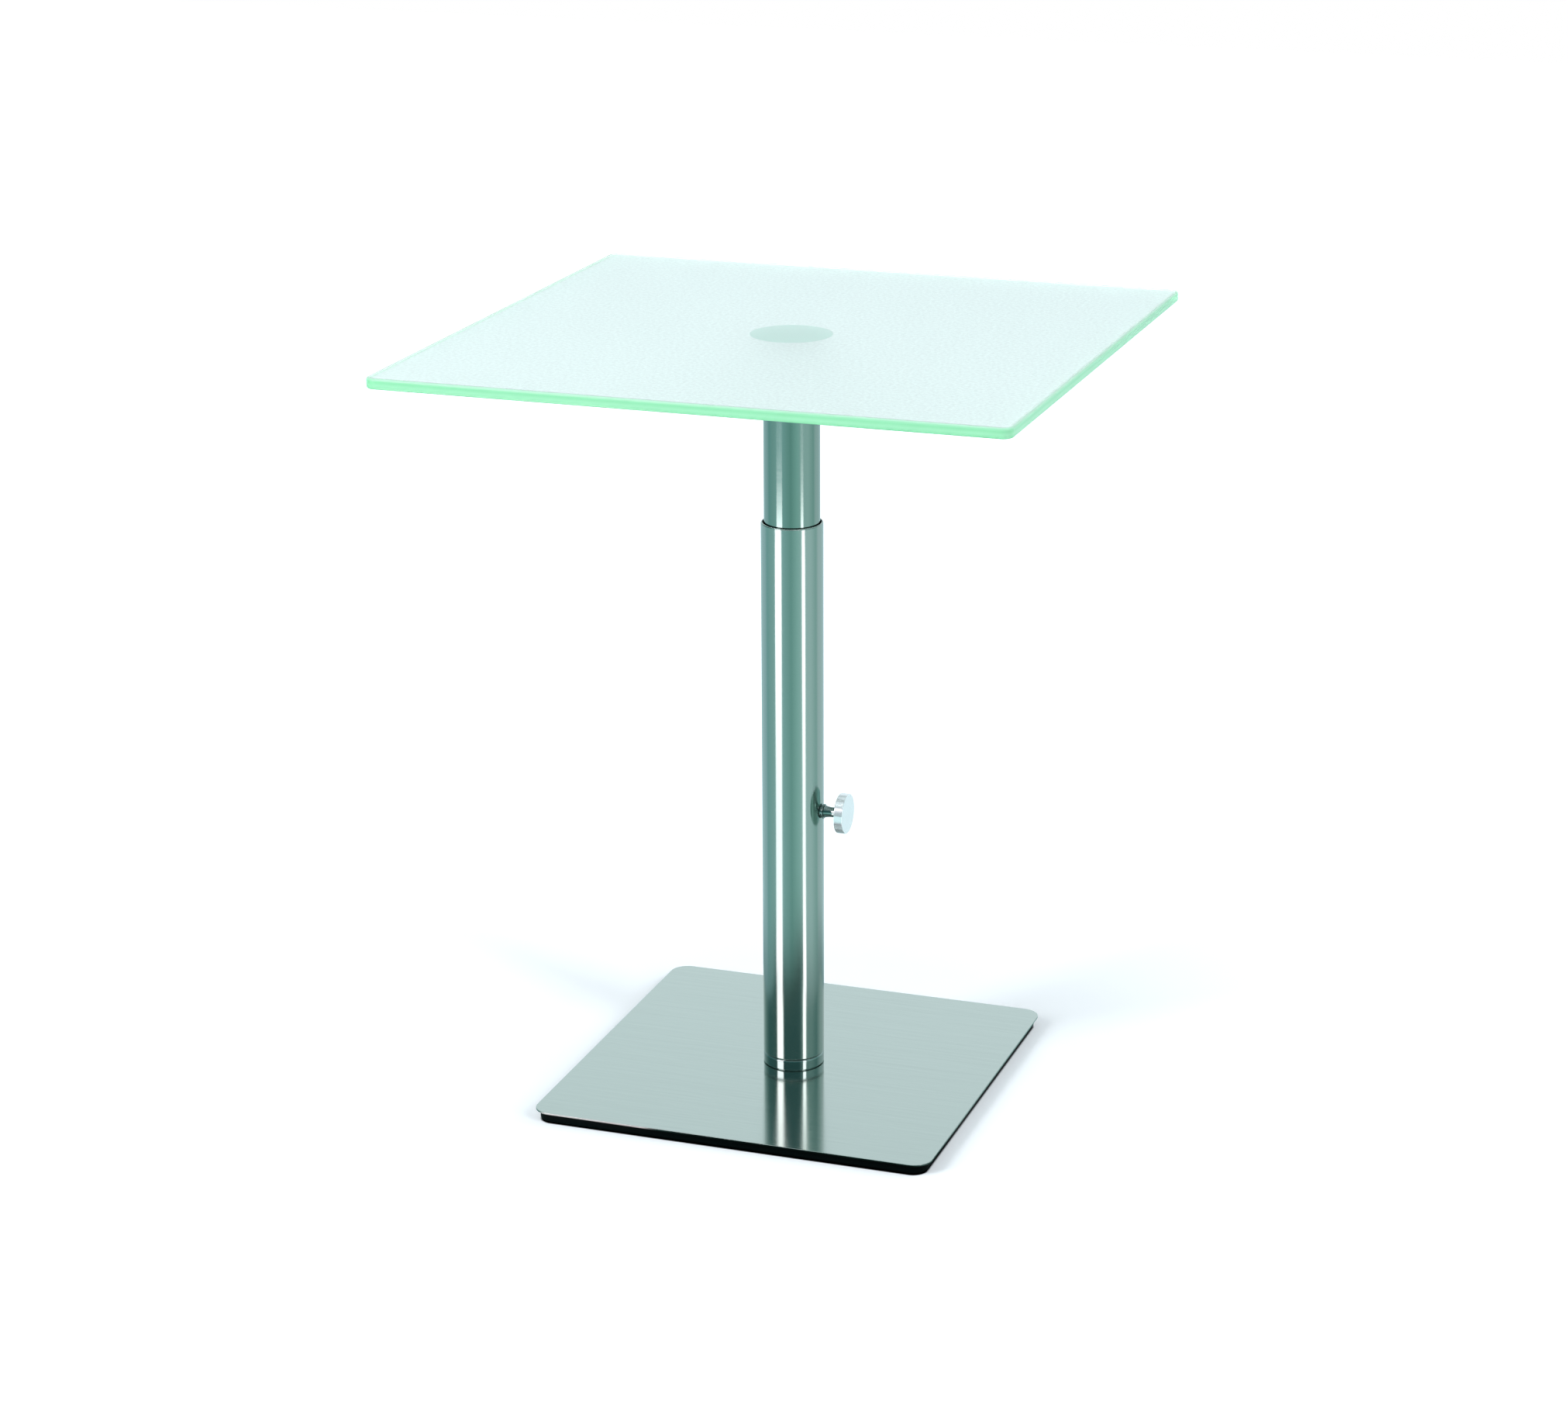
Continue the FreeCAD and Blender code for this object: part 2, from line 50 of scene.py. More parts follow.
def addNode(tree, kind, inputs=None, **settings):
    node = tree.nodes.new("ShaderNode" + kind)
    for name, value in settings.items():
        setattr(node, name, value)
    for name, value in (inputs or {}).items():
        if isinstance(value, bpy.types.NodeSocket):
            tree.links.new(value, node.inputs[name])
        else:
            node.inputs[name].default_value = value
    return node


def newMaterial(name):
    material = bpy.data.materials.new(name)
    material.use_nodes = True
    material.node_tree.nodes.clear()
    return material, material.node_tree


def dress(material, *names):
    for name in names:
        slots = nodes[name].data.materials
        slots.clear()
        slots.append(material)


noiseLow, noiseHigh = 0.3, 0.7      # a noise texture's values lie mostly between these

# Camera at the photograph's angle
cameraSettings = {
    "azimuth": 19.36,       # degrees from the front, towards the knob's side
    "elevation": 18.01,
    "roll": -0.244,
    "distance": 3.6707,     # metres to the point that it looks at
    "side": -0.0084,        # that point: right of the column's axis, and above the floor
    "height": 0.3824,
    "lens": 87.27,          # millimetres, and so is the sensor's width
    "sensor": 36,
}


def makeCamera():
    turn, tilt, roll = (math.radians(cameraSettings[k]) for k in ("azimuth", "elevation", "roll"))
    back = Vector((math.sin(turn) * math.cos(tilt), -math.cos(turn) * math.cos(tilt), math.sin(tilt)))
    right = Vector((math.cos(turn), math.sin(turn), 0))
    aim = right * cameraSettings["side"] + Vector((0, 0, cameraSettings["height"]))
    camera = bpy.data.objects.new("camera", bpy.data.cameras.new("camera"))
    camera.data.sensor_width = cameraSettings["sensor"]
    camera.data.lens = cameraSettings["lens"]
    facing = Matrix((right, back.cross(right), back)).transposed() @ Matrix.Rotation(roll, 3, "Z")
    camera.matrix_world = Matrix.Translation(aim + back * cameraSettings["distance"]) @ facing.to_4x4()
    scene.collection.objects.link(camera)
    scene.camera = camera


makeCamera()
print("camera placed")

# Studio: a white room that is darker in front, three upright soft boxes and a white floor
studioSettings = {
    "ambient": 0.25,
    "ambientColour": "#eaf7ff",     # shadows on the floor are a little blue
    # what shining surfaces see round the room and, painted for mirrored rays only, on the floor: degrees from the
    # front, towards the knob
    "room": ((-180, "#eefaff"), (-136, "#e6f7fa"), (-104, "#86aaa8"), (-88, "#4a8081"), (-50, "#56807f"),
             (-16, "#386b6d"), (40, "#3a6d6f"), (60, "#b0d2d0"), (90, "#accecc"), (116, "#80aeac"),
             (140, "#dcf0f1"), (180, "#eefaff")),
    "ground": ((-180, "#cfeaf0"), (-100, "#c4e8ee"), (-86, "#9fd3d3"), (-60, "#b4e0de"), (-30, "#c4f0f2"),
               (14, "#98cdc6"), (40, "#bdeee8"), (64, "#dcf9f9"), (88, "#d9f7f6"), (116, "#b4dcd8"),
               (130, "#dcf2f4"), (180, "#cfeaf0")),
    # the same near the base, darker there as painted shade, and the distances from the plate between which the one
    # goes over into the other
    "groundNear": ((-180, "#8fb0b4"), (-100, "#8fb0b4"), (-60, "#84a8a7"), (-30, "#3c5a58"), (-12, "#0e1c1b"),
                   (40, "#0c1917"), (56, "#5c7876"), (70, "#a8c1c0"), (110, "#94b1af"), (180, "#8fb0b4")),
    "groundReach": (0.03, 0.24),
    "ceiling": (0.36, 0.72),    # between these heights of the view the walls go over into a grey ceiling
    "ceilingColour": "#93a5a5",
    # degrees from the front, degrees wide, lowest and highest degrees above the floor, metres away, radiance
    "boxes": {"softBoxLeft": (-39, 20, 10, 42, 5.0, 16.0), "softBoxRight": (62.5, 9, 10, 42, 5.0, 16.0),
              "softBoxSide": (112, 40, 8, 40, 5.0, 2.3)},
    # what shining surfaces see of the boxes, which are hidden from them: two upright strips painted on the walls
    # and floor as painted reflections, a little warm, as the steel is greenish
    "strips": ((-180, "#000000"), (-47.5, "#000000"), (-45.5, "#ffe6ee"), (-22.5, "#ffe6ee"), (-20.5, "#000000"),
               (54.0, "#000000"), (55.5, "#ffe6ee"), (65.5, "#ffe6ee"), (67.0, "#000000"), (180, "#000000")),
    "stripWall": 5.0,
    "stripFoot": (0.10, 0.18),  # the heights of the view between which the strips begin on the walls
    "stripTop": (0.45, 0.7),    # and those between which they end
    "stripFloor": 5.2,
    # how bright they are along the floor: metres from the column, up to the last
    "stripAlong": ((0.0, "#e0e0e0"), (0.30, "#d8d8d8"), (0.46, "#b2b2b2"), (0.80, "#a2a2a2"), (1.25, "#bcbcbc"),
                   (1.55, "#d8d8d8"), (1.80, "#ffffff")),
    "stripStart": (0.02, 0.06),     # the distances from the plate between which they begin on the floor
    "stripEnd": (2.04, 2.20),       # the distances from the column between which they end there
    "floorSide": 14.0,
    "floorDrop": 0.0004,    # keeps the floor clear of the glides' faces
    "floorColour": "#e4eaee",
    "glowColour": "#f6fbff",
    # painted light: the floor glows, weakly near the column so that the shadows near the base show, and fully far
    # away
    "floorGlow": 0.27,
    "floorGlowFar": 1.0,
    "glowReach": (0.3, 1.6),    # the distances from the column between which the one goes over into the other
    # painted shadow: inside the plate's outline the floor is painted dark, with a slightly blurred rim
    "plateHalf": 0.1960,    # the weight plate's outline, under which the floor is dark
    "plateCorner": 0.015,
    "plateBlur": 0.001,
}


def addCompass(tree, place, *names):
    axes = addNode(tree, "SeparateXYZ", {0: place})
    forward = addNode(tree, "Math", {0: axes.outputs["Y"], 1: -1.0}, operation="MULTIPLY")
    turn = addNode(tree, "Math", {0: axes.outputs["X"], 1: forward.outputs[0]}, operation="ARCTAN2")
    share = addNode(tree, "MapRange", {0: turn.outputs[0], 1: -math.pi, 2: math.pi}).outputs[0]
    rounds = [[((angle + 180) / 360, code) for angle, code in studioSettings[name]] for name in names]
    return [addRamp(tree, share, stops) for stops in rounds]


def addReach(tree, place, half, corner):
    # distance in plan from the rounded square's straight core: corner at its outline
    core = (half - corner, half - corner, 9.0)      # 9 m is above every piece, so height does not count
    folded = addNode(tree, "VectorMath", {0: place}, operation="ABSOLUTE").outputs[0]
    beyond = addNode(tree, "VectorMath", {0: folded, 1: core}, operation="SUBTRACT").outputs[0]
    beyond = addNode(tree, "VectorMath", {0: beyond, 1: (0, 0, 0)}, operation="MAXIMUM").outputs[0]
    return addNode(tree, "VectorMath", {0: beyond}, operation="LENGTH").outputs["Value"]


def addRamp(tree, share, stops):
    ramp = addNode(tree, "ValToRGB", {0: share})
    elements = ramp.color_ramp.elements
    for place, code in stops[1:-1]:
        elements.new(place)
    for element, (place, code) in zip(elements, stops):
        element.position = place
        element.color = hexColour(code)
    return ramp.outputs[0]


def makeWorld():
    world = bpy.data.worlds.new("studio")
    scene.world = world
    world.use_nodes = True
    tree = world.node_tree
    tree.nodes.clear()
    place = addNode(tree, "TexCoord").outputs["Generated"]
    room, strips = addCompass(tree, place, "room", "strips")
    height = addNode(tree, "SeparateXYZ", {0: place}).outputs["Z"]
    low, high = studioSettings["ceiling"]
    above = addNode(tree, "MapRange", {0: height, 1: low, 2: high}).outputs[0]
    ceiling = hexColour(studioSettings["ceilingColour"])
    room = addNode(tree, "Mix", {0: above, 6: room, 7: ceiling}, data_type="RGBA").outputs[2]
    path = addNode(tree, "LightPath")
    seen = addNode(tree, "Math", {0: path.outputs["Is Camera Ray"], 1: path.outputs["Is Transmission Ray"]},
                   operation="MAXIMUM")
    dull = addNode(tree, "Background", {0: hexColour(studioSettings["ambientColour"]),
                                        1: studioSettings["ambient"]})
    # painted reflections of the soft boxes: strips on the walls, seen by mirrored rays only
    low, high = studioSettings["stripTop"]
    glow = addNode(tree, "MapRange", {0: height, 1: low, 2: high, 3: studioSettings["stripWall"],
                                      4: 0.0}).outputs[0]
    low, high = studioSettings["stripFoot"]
    begin = addNode(tree, "MapRange", {0: height, 1: low, 2: high}).outputs[0]
    glow = addNode(tree, "Math", {0: glow, 1: begin}, operation="MULTIPLY").outputs[0]
    glow = addNode(tree, "Background", {0: strips, 1: glow})
    walls = addNode(tree, "Background", {0: room, 1: 1.0})
    shine = addNode(tree, "AddShader", {0: walls.outputs[0], 1: glow.outputs[0]})
    white = addNode(tree, "Background", {0: (1, 1, 1, 1), 1: 1.0})
    first = addNode(tree, "MixShader", {0: path.outputs["Is Glossy Ray"], 1: dull.outputs[0], 2: shine.outputs[0]})
    second = addNode(tree, "MixShader", {0: seen.outputs[0], 1: first.outputs[0], 2: white.outputs[0]})
    addNode(tree, "OutputWorld", {0: second.outputs[0]})


def makeSoftBoxes():
    for name, (turn, wide, low, high, away, radiance) in studioSettings["boxes"].items():
        middle = math.radians((low + high) / 2)
        turn = math.radians(turn)
        lamp = bpy.data.lights.new(name, "AREA")
        lamp.shape = "RECTANGLE"
        lamp.size = 2 * away * math.tan(math.radians(wide / 2))
        lamp.size_y = 2 * away * math.tan(math.radians((high - low) / 2))
        lamp.energy = radiance * math.pi * lamp.size * lamp.size_y
        outward = Vector((math.sin(turn) * math.cos(middle), -math.cos(turn) * math.cos(middle), math.sin(middle)))
        box = bpy.data.objects.new(name, lamp)
        box.location = outward * away + Vector((0, 0, cameraSettings["height"]))
        box.rotation_euler = outward.to_track_quat("Z", "Y").to_euler()
        box.visible_camera = False
        # mirrors see the painted strips in their place
        box.visible_glossy = False
        scene.collection.objects.link(box)


def makeFloor():
    shape = bmesh.new()
    bmesh.ops.create_grid(shape, x_segments=1, y_segments=1, size=studioSettings["floorSide"] / 2)
    bmesh.ops.translate(shape, verts=shape.verts, vec=(0, 0, -studioSettings["floorDrop"]))
    mesh = bpy.data.meshes.new("floor")
    shape.to_mesh(mesh)
    shape.free()
    floor = bpy.data.objects.new("floor", mesh)
    scene.collection.objects.link(floor)
    material, tree = newMaterial("white studio floor")
    place = addNode(tree, "TexCoord").outputs["Object"]
    corner = studioSettings["plateCorner"]
    reach = addReach(tree, place, studioSettings["plateHalf"], corner)
    blur = studioSettings["plateBlur"]
    # painted shadow: the floor's colour and glow go to black under the weight plate
    clear = addNode(tree, "MapRange", {0: reach, 1: corner - blur, 2: corner + blur}).outputs[0]
    away = addNode(tree, "VectorMath", {0: place}, operation="LENGTH").outputs["Value"]
    low, high = studioSettings["glowReach"]
    glow = addNode(tree, "MapRange", {0: away, 1: low, 2: high, 3: studioSettings["floorGlow"],
                                      4: studioSettings["floorGlowFar"]}).outputs[0]
    glow = addNode(tree, "Math", {0: glow, 1: clear}, operation="MULTIPLY").outputs[0]
    path = addNode(tree, "LightPath")
    seen = addNode(tree, "Math", {0: path.outputs["Is Camera Ray"], 1: path.outputs["Is Transmission Ray"]},
                   operation="MAXIMUM").outputs[0]
    glow = addNode(tree, "Math", {0: glow, 1: seen}, operation="MULTIPLY").outputs[0]
    sheet = addNode(tree, "VectorMath", {0: hexColour(studioSettings["floorColour"])[:3], "Scale": clear},
                    operation="SCALE").outputs[0]
    paper = addNode(tree, "BsdfDiffuse", {0: sheet})
    light = addNode(tree, "Emission", {0: hexColour(studioSettings["glowColour"]), 1: glow})
    lit = addNode(tree, "AddShader", {0: paper.outputs[0], 1: light.outputs[0]})
    # mirrored rays see a painted floor instead: its ground colours, with painted shade near the base
    low, high = studioSettings["groundReach"]
    far = addNode(tree, "MapRange", {0: reach, 1: corner + low, 2: corner + high}).outputs[0]
    nearby, ground, strips = addCompass(tree, place, "groundNear", "ground", "strips")
    ground = addNode(tree, "Mix", {0: far, 6: nearby, 7: ground}, data_type="RGBA").outputs[2]
    # painted reflections of the soft boxes: bright strips along the floor, for mirrored rays only
    low, high = studioSettings["stripEnd"]
    stripGlow = addNode(tree, "MapRange", {0: away, 1: low, 2: high, 3: studioSettings["stripFloor"],
                                           4: 0.0}).outputs[0]
    along = studioSettings["stripAlong"]
    share = addNode(tree, "MapRange", {0: away, 1: along[0][0], 2: along[-1][0]}).outputs[0]
    fall = addRamp(tree, share, [(place / along[-1][0], code) for place, code in along])
    strips = addNode(tree, "VectorMath", {0: strips, 1: fall}, operation="MULTIPLY").outputs[0]
    low, high = studioSettings["stripStart"]
    begin = addNode(tree, "MapRange", {0: reach, 1: corner + low, 2: corner + high}).outputs[0]
    stripGlow = addNode(tree, "Math", {0: stripGlow, 1: begin}, operation="MULTIPLY").outputs[0]
    stripGlow = addNode(tree, "Emission", {0: strips, 1: stripGlow})
    shine = addNode(tree, "Emission", {0: ground, 1: 1.0})
    shine = addNode(tree, "AddShader", {0: shine.outputs[0], 1: stripGlow.outputs[0]})
    mirrored = addNode(tree, "Math", {0: path.outputs["Is Glossy Ray"], 1: path.outputs["Is Transmission Ray"]},
                       operation="SUBTRACT", use_clamp=True)
    both = addNode(tree, "MixShader", {0: mirrored.outputs[0], 1: lit.outputs[0], 2: shine.outputs[0]})
    addNode(tree, "OutputMaterial", {0: both.outputs[0]})
    mesh.materials.append(material)


makeWorld()
makeSoftBoxes()
makeFloor()
print("studio lit")

# Turned pieces drawn finer than their solids
turnedSettings = {
    # height and radius in metres: the collar stands on a small relief, which draws a dark line on the sheet,
    # and two rows near the ends of its wall keep the shading of the rounded rims off it
    "collar": ((0.0120, 0.0201), (0.0120, 0.0284), (0.0128, 0.0284), (0.0128, 0.0297), (0.0131, 0.0300),
               (0.0134, 0.0300), (0.0210, 0.0300), (0.0213, 0.0300), (0.0223, 0.02973), (0.0230, 0.0290),
               (0.02335, 0.0284), (0.0235, 0.0278), (0.0235, 0.0201)),
    # just clear of the glass above it and the disc below
    "film": ((0.73982, 0.0), (0.73982, 0.0387), (0.73986, 0.0390), (0.73994, 0.0390), (0.73998, 0.0387),
             (0.73998, 0.0)),
    "steps": 96,
    "weld": 1e-6,           # vertices nearer than this become one
    "sharp": 50,            # degrees between faces, past which the edge is drawn sharp
}


def addTurned(name, profile, body, node):
    shape = bmesh.new()
    dots = [shape.verts.new((radius, 0, height)) for height, radius in profile]
    closed = profile[0][1] > 0
    lines = [shape.edges.new(pair) for pair in zip(dots, dots[1:] + dots[:1] if closed else dots[1:])]
    bmesh.ops.spin(shape, geom=dots + lines, cent=(0, 0, 0), axis=(0, 0, 1), dvec=(0, 0, 0), angle=2 * math.pi,
                   steps=turnedSettings["steps"], use_merge=True, use_duplicate=False)
    bmesh.ops.remove_doubles(shape, verts=shape.verts, dist=turnedSettings["weld"])
    bmesh.ops.recalc_face_normals(shape, faces=shape.faces)
    mesh = bpy.data.meshes.new(name)
    shape.to_mesh(mesh)
    shape.free()
    mesh.shade_smooth()
    mesh.set_sharp_from_angle(angle=math.radians(turnedSettings["sharp"]))
    piece = bpy.data.objects.new(name, mesh)
    scene.collection.objects.link(piece)
    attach(piece, body)
    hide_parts(node)
    nodes[node] = piece


addTurned("polishedCollar", turnedSettings["collar"], "base_column", "collar_ring")
addTurned("adhesiveFilm", turnedSettings["film"], "upper_column", "bond_film")
print("turned pieces made")

# Satin glass: float glass, etched below and polished above, so it is milky but bright, with
# green edges where the eye looks along the sheet
glassSettings = {
    "sheet": "#f6fbfb",
    "milk": "#c3d0ce",
    # the ground edge from its lower to its upper arris
    "edge": ((0.0, "#5fd48d"), (0.15, "#80d89e"), (0.4, "#8edcaa"), (0.68, "#7dd59a"),
             (0.85, "#8edcaa"), (1.0, "#bcead0")),
    "half": 0.300,
    "corner": 0.010,
    "faces": (0.740, 0.750),    # the heights of its lower and upper face
    "edgeFade": (0.005, 0.001),     # between these distances from the outline the face goes over into the edge
    "edgeClear": 0.45,      # how much of the ground edge is still clear glass
    "edgeInside": 0.35,     # how green the far edges are, seen through the sheet
    "underside": 0.7402,    # below this height it is the etched face
    "etched": 0.8,          # that face's roughness
    "etchedClear": 0.3,     # how much of the etched face lets the view through
    "polished": 0.05,       # the roughness elsewhere
    "bond": 0.039,          # the adhesive wets the etching and makes it clear again
    "shade": "#5d6f63",     # what passes of a lamp's direct light through the etching
    "ior": 1.52,
    "milkSpread": 0.13,     # how far the grain changes the milk, as a share
    "grain": 0.0034,        # drawn coarser than the real etching, which would not show
}


def makeGlass():
    material, tree = newMaterial("satin glass")
    place = addNode(tree, "TexCoord").outputs["Object"]
    axes = addNode(tree, "SeparateXYZ", {0: place})
    flat = addNode(tree, "CombineXYZ", {0: axes.outputs["X"], 1: axes.outputs["Y"]}).outputs[0]
    corner = glassSettings["corner"]
    reach = addReach(tree, place, glassSettings["half"], corner)
    low, high = glassSettings["edgeFade"]
    edge = addNode(tree, "MapRange", {0: reach, 1: corner - low, 2: corner - high},
                   interpolation_type="SMOOTHSTEP").outputs[0]
    speckle = addNode(tree, "TexNoise", {"Vector": flat, "Scale": 1 / glassSettings["grain"],
                                         "Detail": 2.0}).outputs[0]
    spread = glassSettings["milkSpread"]
    milk = addNode(tree, "MapRange", {0: speckle, 1: noiseLow, 2: noiseHigh, 3: 1 - spread, 4: 1 + spread},
                   clamp=False).outputs[0]
    milk = addNode(tree, "VectorMath", {0: hexColour(glassSettings["milk"])[:3], "Scale": milk},
                   operation="SCALE").outputs[0]
    below = addNode(tree, "Math", {0: axes.outputs["Z"], 1: glassSettings["underside"]},
                    operation="LESS_THAN").outputs[0]
    radius = addNode(tree, "VectorMath", {0: flat}, operation="LENGTH").outputs["Value"]
    unbonded = addNode(tree, "Math", {0: radius, 1: glassSettings["bond"]}, operation="GREATER_THAN").outputs[0]
    etched = addNode(tree, "Math", {0: below, 1: unbonded}, operation="MULTIPLY").outputs[0]
    tint = addNode(tree, "Mix", {0: etched, 6: hexColour(glassSettings["sheet"]), 7: milk},
                   data_type="RGBA").outputs[2]
    low, high = glassSettings["faces"]
    level = addNode(tree, "MapRange", {0: axes.outputs["Z"], 1: low, 2: high}).outputs[0]
    rim = addRamp(tree, level, glassSettings["edge"])
    inside = addNode(tree, "NewGeometry").outputs["Backfacing"]
    green = addNode(tree, "MapRange", {0: inside, 3: 1.0, 4: glassSettings["edgeInside"]}).outputs[0]
    green = addNode(tree, "Math", {0: edge, 1: green}, operation="MULTIPLY").outputs[0]
    tint = addNode(tree, "Mix", {0: green, 6: tint, 7: rim}, data_type="RGBA").outputs[2]
    rough = addNode(tree, "MapRange", {0: etched, 3: glassSettings["polished"],
                                       4: glassSettings["etched"]}).outputs[0]
    face = addNode(tree, "MapRange", {0: etched, 3: 1.0, 4: glassSettings["etchedClear"]}).outputs[0]
    clear = addNode(tree, "MapRange", {0: edge, 3: face, 4: glassSettings["edgeClear"]}).outputs[0]
    glass = addNode(tree, "BsdfPrincipled", {"Base Color": tint, "Roughness": rough, "IOR": glassSettings["ior"],
                                             "Transmission Weight": clear})
    dimmed = hexColour(glassSettings["shade"])
    passed = addNode(tree, "Mix", {0: etched, 6: (1, 1, 1, 1), 7: dimmed}, data_type="RGBA").outputs[2]
    shade = addNode(tree, "BsdfTransparent", {0: passed})
    path = addNode(tree, "LightPath")
    both = addNode(tree, "MixShader", {0: path.outputs["Is Shadow Ray"], 1: glass.outputs[0], 2: shade.outputs[0]})
    addNode(tree, "OutputMaterial", {0: both.outputs[0]})
    dress(material, "glass_top")


makeGlass()

# Ground stainless tubes: the belt runs round the tube, so lights stretch along it; the inner
# tube is a little smoother, and its colour is darker and greener: painted shade from the glass top above it
tubeSettings = {
    # colour, roughness and the tube that has it
    "finishes": {"ground stainless steel": ("#a2b1ac", 0.16, "outer_tube"),
                 # painted shade: the inner tube's darker, greener colour stands for the glass top's shade
                 "ground stainless steel in painted shade": ("#8ea39c", 0.10, "inner_tube")},
    "roughnessSpread": 0.012,
    "anisotropy": 0.7,
    "turned": 0.25,         # of a full turn: lights stretch across the marks
    "grindWide": 0.050,     # length of a grinding mark round the tube, metres
    "grindFine": 0.0014,    # its width along the tube; the real marks are finer and would not show
}


def makeTubeSteel(name, colour, roughness, member):
    material, tree = newMaterial(name)
    place = addNode(tree, "TexCoord")
    wide, fine = 1 / tubeSettings["grindWide"], 1 / tubeSettings["grindFine"]
    stretch = addNode(tree, "Mapping", {0: place.outputs["Object"], 3: (wide, wide, fine)})
    marks = addNode(tree, "TexNoise", {"Vector": stretch.outputs[0], "Scale": 1.0, "Detail": 3.0, "Roughness": 0.6})
    spread = tubeSettings["roughnessSpread"]
    rough = addNode(tree, "MapRange", {0: marks.outputs[0], 1: noiseLow, 2: noiseHigh,
                                       3: roughness - spread, 4: roughness + spread})
    around = addNode(tree, "Tangent", direction_type="RADIAL", axis="Z")
    steel = addNode(tree, "BsdfPrincipled", {"Base Color": hexColour(colour), "Metallic": 1.0,
                                             "Roughness": rough.outputs[0], "Tangent": around.outputs[0],
                                             "Anisotropic": tubeSettings["anisotropy"],
                                             "Anisotropic Rotation": tubeSettings["turned"]})
    addNode(tree, "OutputMaterial", {0: steel.outputs[0]})
    dress(material, member)


for name, (colour, roughness, member) in tubeSettings["finishes"].items():
    makeTubeSteel(name, colour, roughness, member)

# Brushed stainless sheet: straight strokes along the base's front
sheetSettings = {
    "colour": "#cbd5d0",
    "roughness": (0.115, 0.145),
    "anisotropy": 0.7,
    "shadeSpread": 0.035,   # how far the strokes change the colour, as a share
    "strokeLong": 0.080,    # metres
    "strokeFine": 0.0016,   # the real strokes are finer and would not show
}


def makeSheetSteel():
    material, tree = newMaterial("brushed stainless sheet")
    place = addNode(tree, "TexCoord")
    wide, fine = 1 / sheetSettings["strokeLong"], 1 / sheetSettings["strokeFine"]
    stretch = addNode(tree, "Mapping", {0: place.outputs["Object"], 3: (wide, fine, fine)})
    marks = addNode(tree, "TexNoise", {"Vector": stretch.outputs[0], "Scale": 1.0, "Detail": 3.0, "Roughness": 0.6})
    smooth, dull = sheetSettings["roughness"]
    rough = addNode(tree, "MapRange", {0: marks.outputs[0], 1: noiseLow, 2: noiseHigh, 3: smooth, 4: dull})
    spread = sheetSettings["shadeSpread"]
    shade = addNode(tree, "MapRange", {0: marks.outputs[0], 1: noiseLow, 2: noiseHigh,
                                       3: 1 - spread, 4: 1 + spread}, clamp=False)
    colour = addNode(tree, "VectorMath", {0: hexColour(sheetSettings["colour"])[:3], "Scale": shade.outputs[0]},
                     operation="SCALE")
    along = addNode(tree, "Tangent", direction_type="RADIAL", axis="X")
    steel = addNode(tree, "BsdfPrincipled", {"Base Color": colour.outputs[0], "Metallic": 1.0,
                                             "Roughness": rough.outputs[0], "Tangent": along.outputs[0],
                                             "Anisotropic": sheetSettings["anisotropy"]})
    addNode(tree, "OutputMaterial", {0: steel.outputs[0]})
    dress(material, "base_cover_sheet", "top_disc")


makeSheetSteel()

# Turned aluminium knob: fine rings on a pale face, and a back that the tube mirrors, tinted darker and greener as
# painted shade
knobSettings = {
    "axis": 0.2777,         # the height of the axis that it is turned round
    "face": "#f6fbff",
    # painted shade: the back's darker, greener colour, seen in the tube's mirror
    "back": "#b2d6cc",
    "backAt": (0.0479, 0.0483),     # between these places along the axis the back goes over into the rim
    "metallic": 0.72,
    "roughness": (0.08, 0.13),
    "shadeSpread": 0.05,    # how far the rings change the colour, as a share
    "ring": 0.0012,         # drawn coarser than the tool's real marks, which would not show
}


def makeKnobFinish():
    material, tree = newMaterial("turned aluminium")
    place = addNode(tree, "TexCoord").outputs["Object"]
    arm = addNode(tree, "VectorMath", {0: place, 1: (0, 0, knobSettings["axis"])}, operation="SUBTRACT").outputs[0]
    arm = addNode(tree, "VectorMath", {0: arm, 1: (0, 1, 1)}, operation="MULTIPLY").outputs[0]
    radius = addNode(tree, "VectorMath", {0: arm}, operation="LENGTH").outputs["Value"]
    rings = addNode(tree, "TexNoise", {"W": radius, "Scale": 1 / knobSettings["ring"], "Detail": 2.0},
                    noise_dimensions="1D").outputs[0]
    smooth, dull = knobSettings["roughness"]
    rough = addNode(tree, "MapRange", {0: rings, 1: noiseLow, 2: noiseHigh, 3: smooth, 4: dull}).outputs[0]
    spread = knobSettings["shadeSpread"]
    shade = addNode(tree, "MapRange", {0: rings, 1: noiseLow, 2: noiseHigh, 3: 1 - spread,
                                       4: 1 + spread}).outputs[0]
    face = addNode(tree, "VectorMath", {0: hexColour(knobSettings["face"])[:3], "Scale": shade},
                   operation="SCALE").outputs[0]
    low, high = knobSettings["backAt"]
    along = addNode(tree, "SeparateXYZ", {0: place}).outputs["X"]
    front = addNode(tree, "MapRange", {0: along, 1: low, 2: high}).outputs[0]
    tint = addNode(tree, "Mix", {0: front, 6: hexColour(knobSettings["back"]), 7: face},
                   data_type="RGBA").outputs[2]
    metal = addNode(tree, "BsdfPrincipled", {"Base Color": tint, "Metallic": knobSettings["metallic"],
                                             "Roughness": rough})
    addNode(tree, "OutputMaterial", {0: metal.outputs[0]})
    dress(material, "knob_head")


makeKnobFinish()

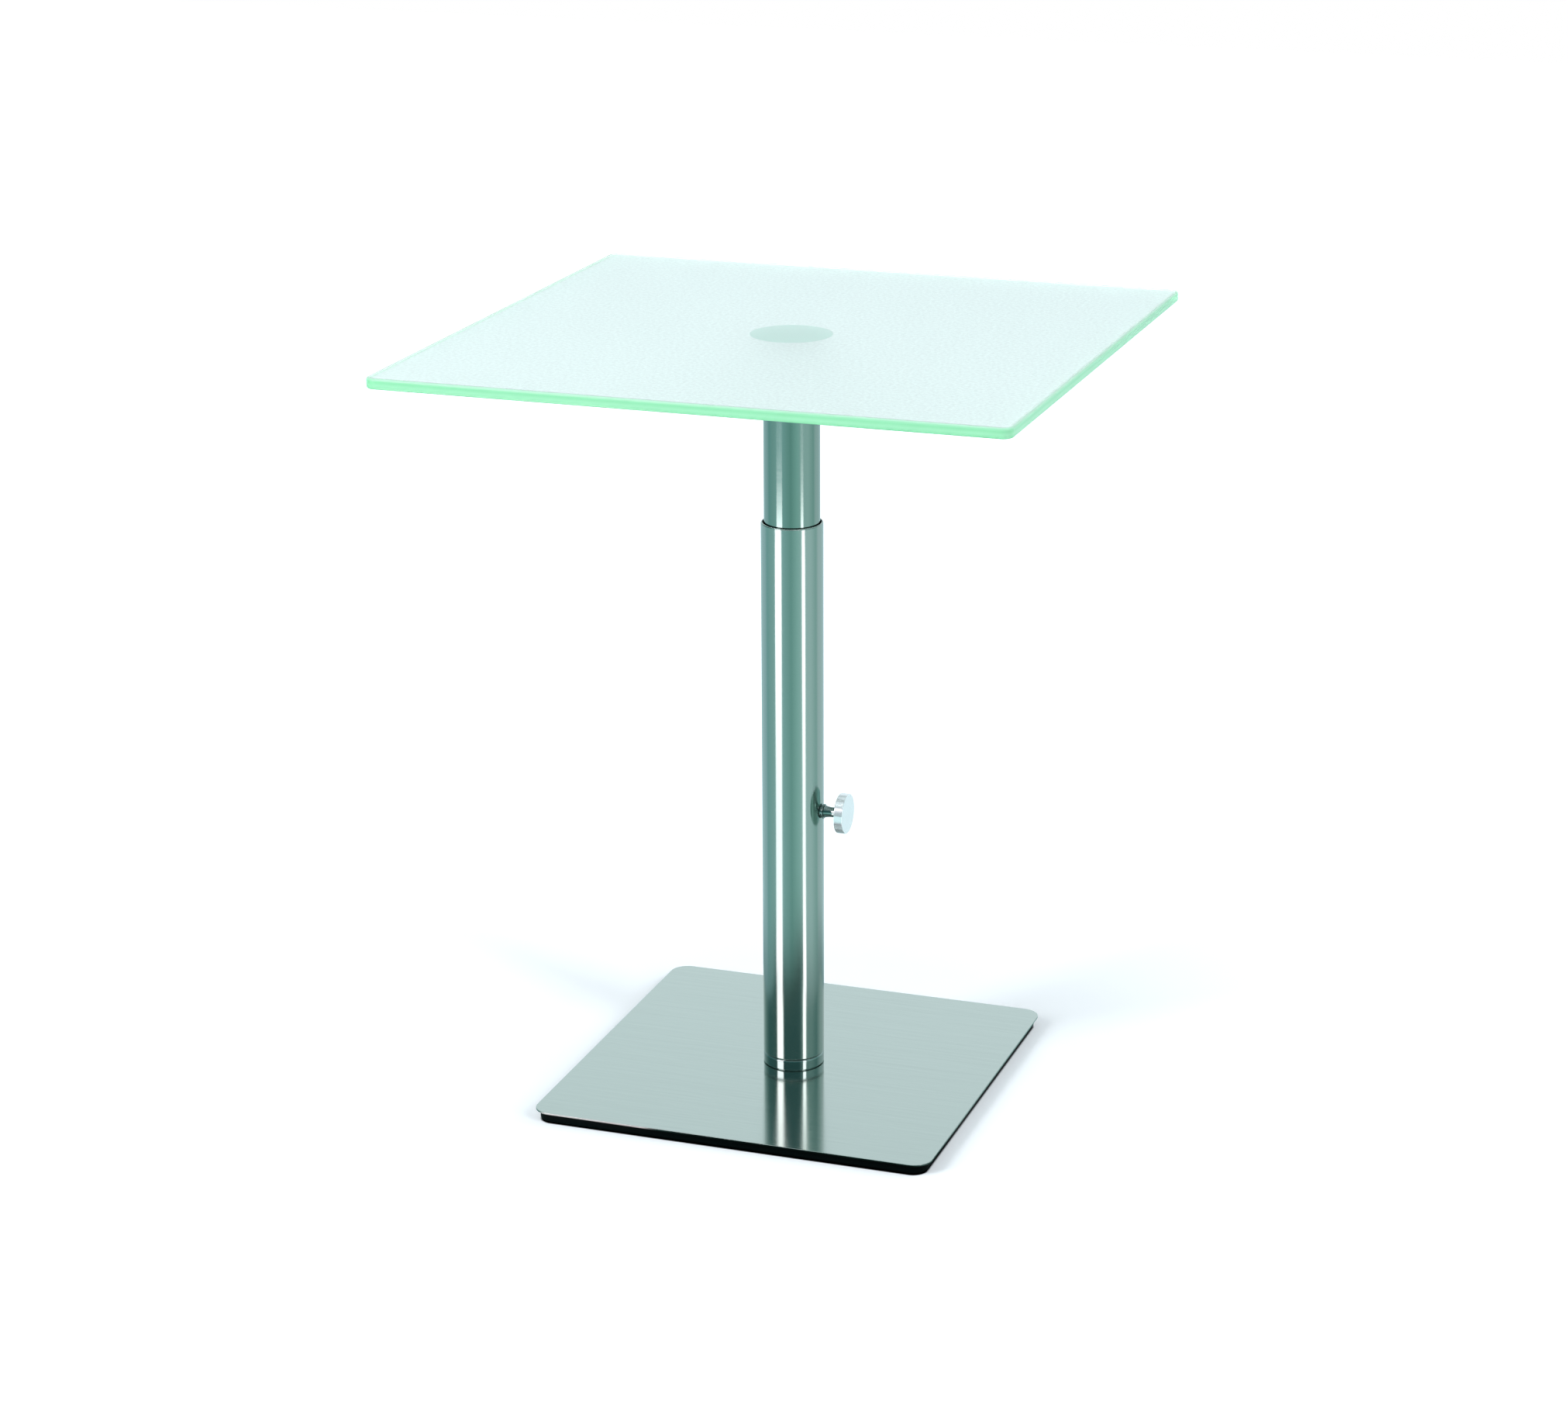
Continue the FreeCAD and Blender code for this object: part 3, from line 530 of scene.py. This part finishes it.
# Finishes of the smaller pieces: colour, metallic, roughness, specular level and grain in metres
smallSettings = {
    # a dark mirror, in which the strips stand out white
    "polished stainless steel": ("#93a4a1", 1.0, 0.06, 0.5, 0.002, ("collar_ring", "clamp_boss", "knob_neck")),
    # grey and slightly cloudy, on pieces that a user sees only when the table is taken apart
    "zinc-plated steel": ("#b4b6b5", 1.0, 0.35, 0.5, 0.003,
                          ("column_foot_plug", "column_bolt", "dowel_pins", "clamp_stud", "inner_top_plug",
                           "disc_stud")),
    # swallows the light, so the base's rim reads as one dark line
    "satin black paint": ("#030808", 0.0, 0.4, 0.08, 0.0012, ("weight_plate",)),
    # a soft black with a faint moulded grain
    "moulded black nylon": ("#0b0c0c", 0.0, 0.5, 0.2, 0.0008,
                            ("foot_pad_front_left", "foot_pad_front_right", "foot_pad_back_left",
                             "foot_pad_back_right", "upper_guide_bush", "lower_guide_ring", "inner_end_plug")),
    # duller and greyer than the nylon
    "black rubber": ("#171717", 0.0, 0.75, 0.3, 0.0006, ("stop_buffer",)),
    # the one warm colour, inside the clamp
    "turned brass": ("#d2b46c", 1.0, 0.25, 0.5, 0.0004, ("clamp_pad",)),
    # shows the disc through the glass as a pale green mirror
    "clear cured adhesive": ("#b8efe0", 1.0, 0.35, 0.5, 0.004, ("bond_film",)),
}
smallSpread = {"roughness": 0.15, "shade": 0.05}    # how far the grain changes them, as a share


def makeSmallFinishes():
    for name, (colour, metallic, roughness, specular, grain, members) in smallSettings.items():
        material, tree = newMaterial(name)
        place = addNode(tree, "TexCoord").outputs["Object"]
        pattern = addNode(tree, "TexNoise", {"Vector": place, "Scale": 1 / grain, "Detail": 3.0}).outputs[0]
        spread = smallSpread["roughness"]
        rough = addNode(tree, "MapRange", {0: pattern, 1: noiseLow, 2: noiseHigh, 3: roughness * (1 - spread),
                                           4: roughness * (1 + spread)}).outputs[0]
        spread = smallSpread["shade"]
        shade = addNode(tree, "MapRange", {0: pattern, 1: noiseLow, 2: noiseHigh, 3: 1 - spread,
                                           4: 1 + spread}).outputs[0]
        tint = addNode(tree, "VectorMath", {0: hexColour(colour)[:3], "Scale": shade}, operation="SCALE").outputs[0]
        body = addNode(tree, "BsdfPrincipled", {"Base Color": tint, "Metallic": metallic, "Roughness": rough,
                                                "Specular IOR Level": specular})
        addNode(tree, "OutputMaterial", {0: body.outputs[0]})
        dress(material, *members)


makeSmallFinishes()
print("finishes applied")

scene.view_settings.view_transform = "Standard"
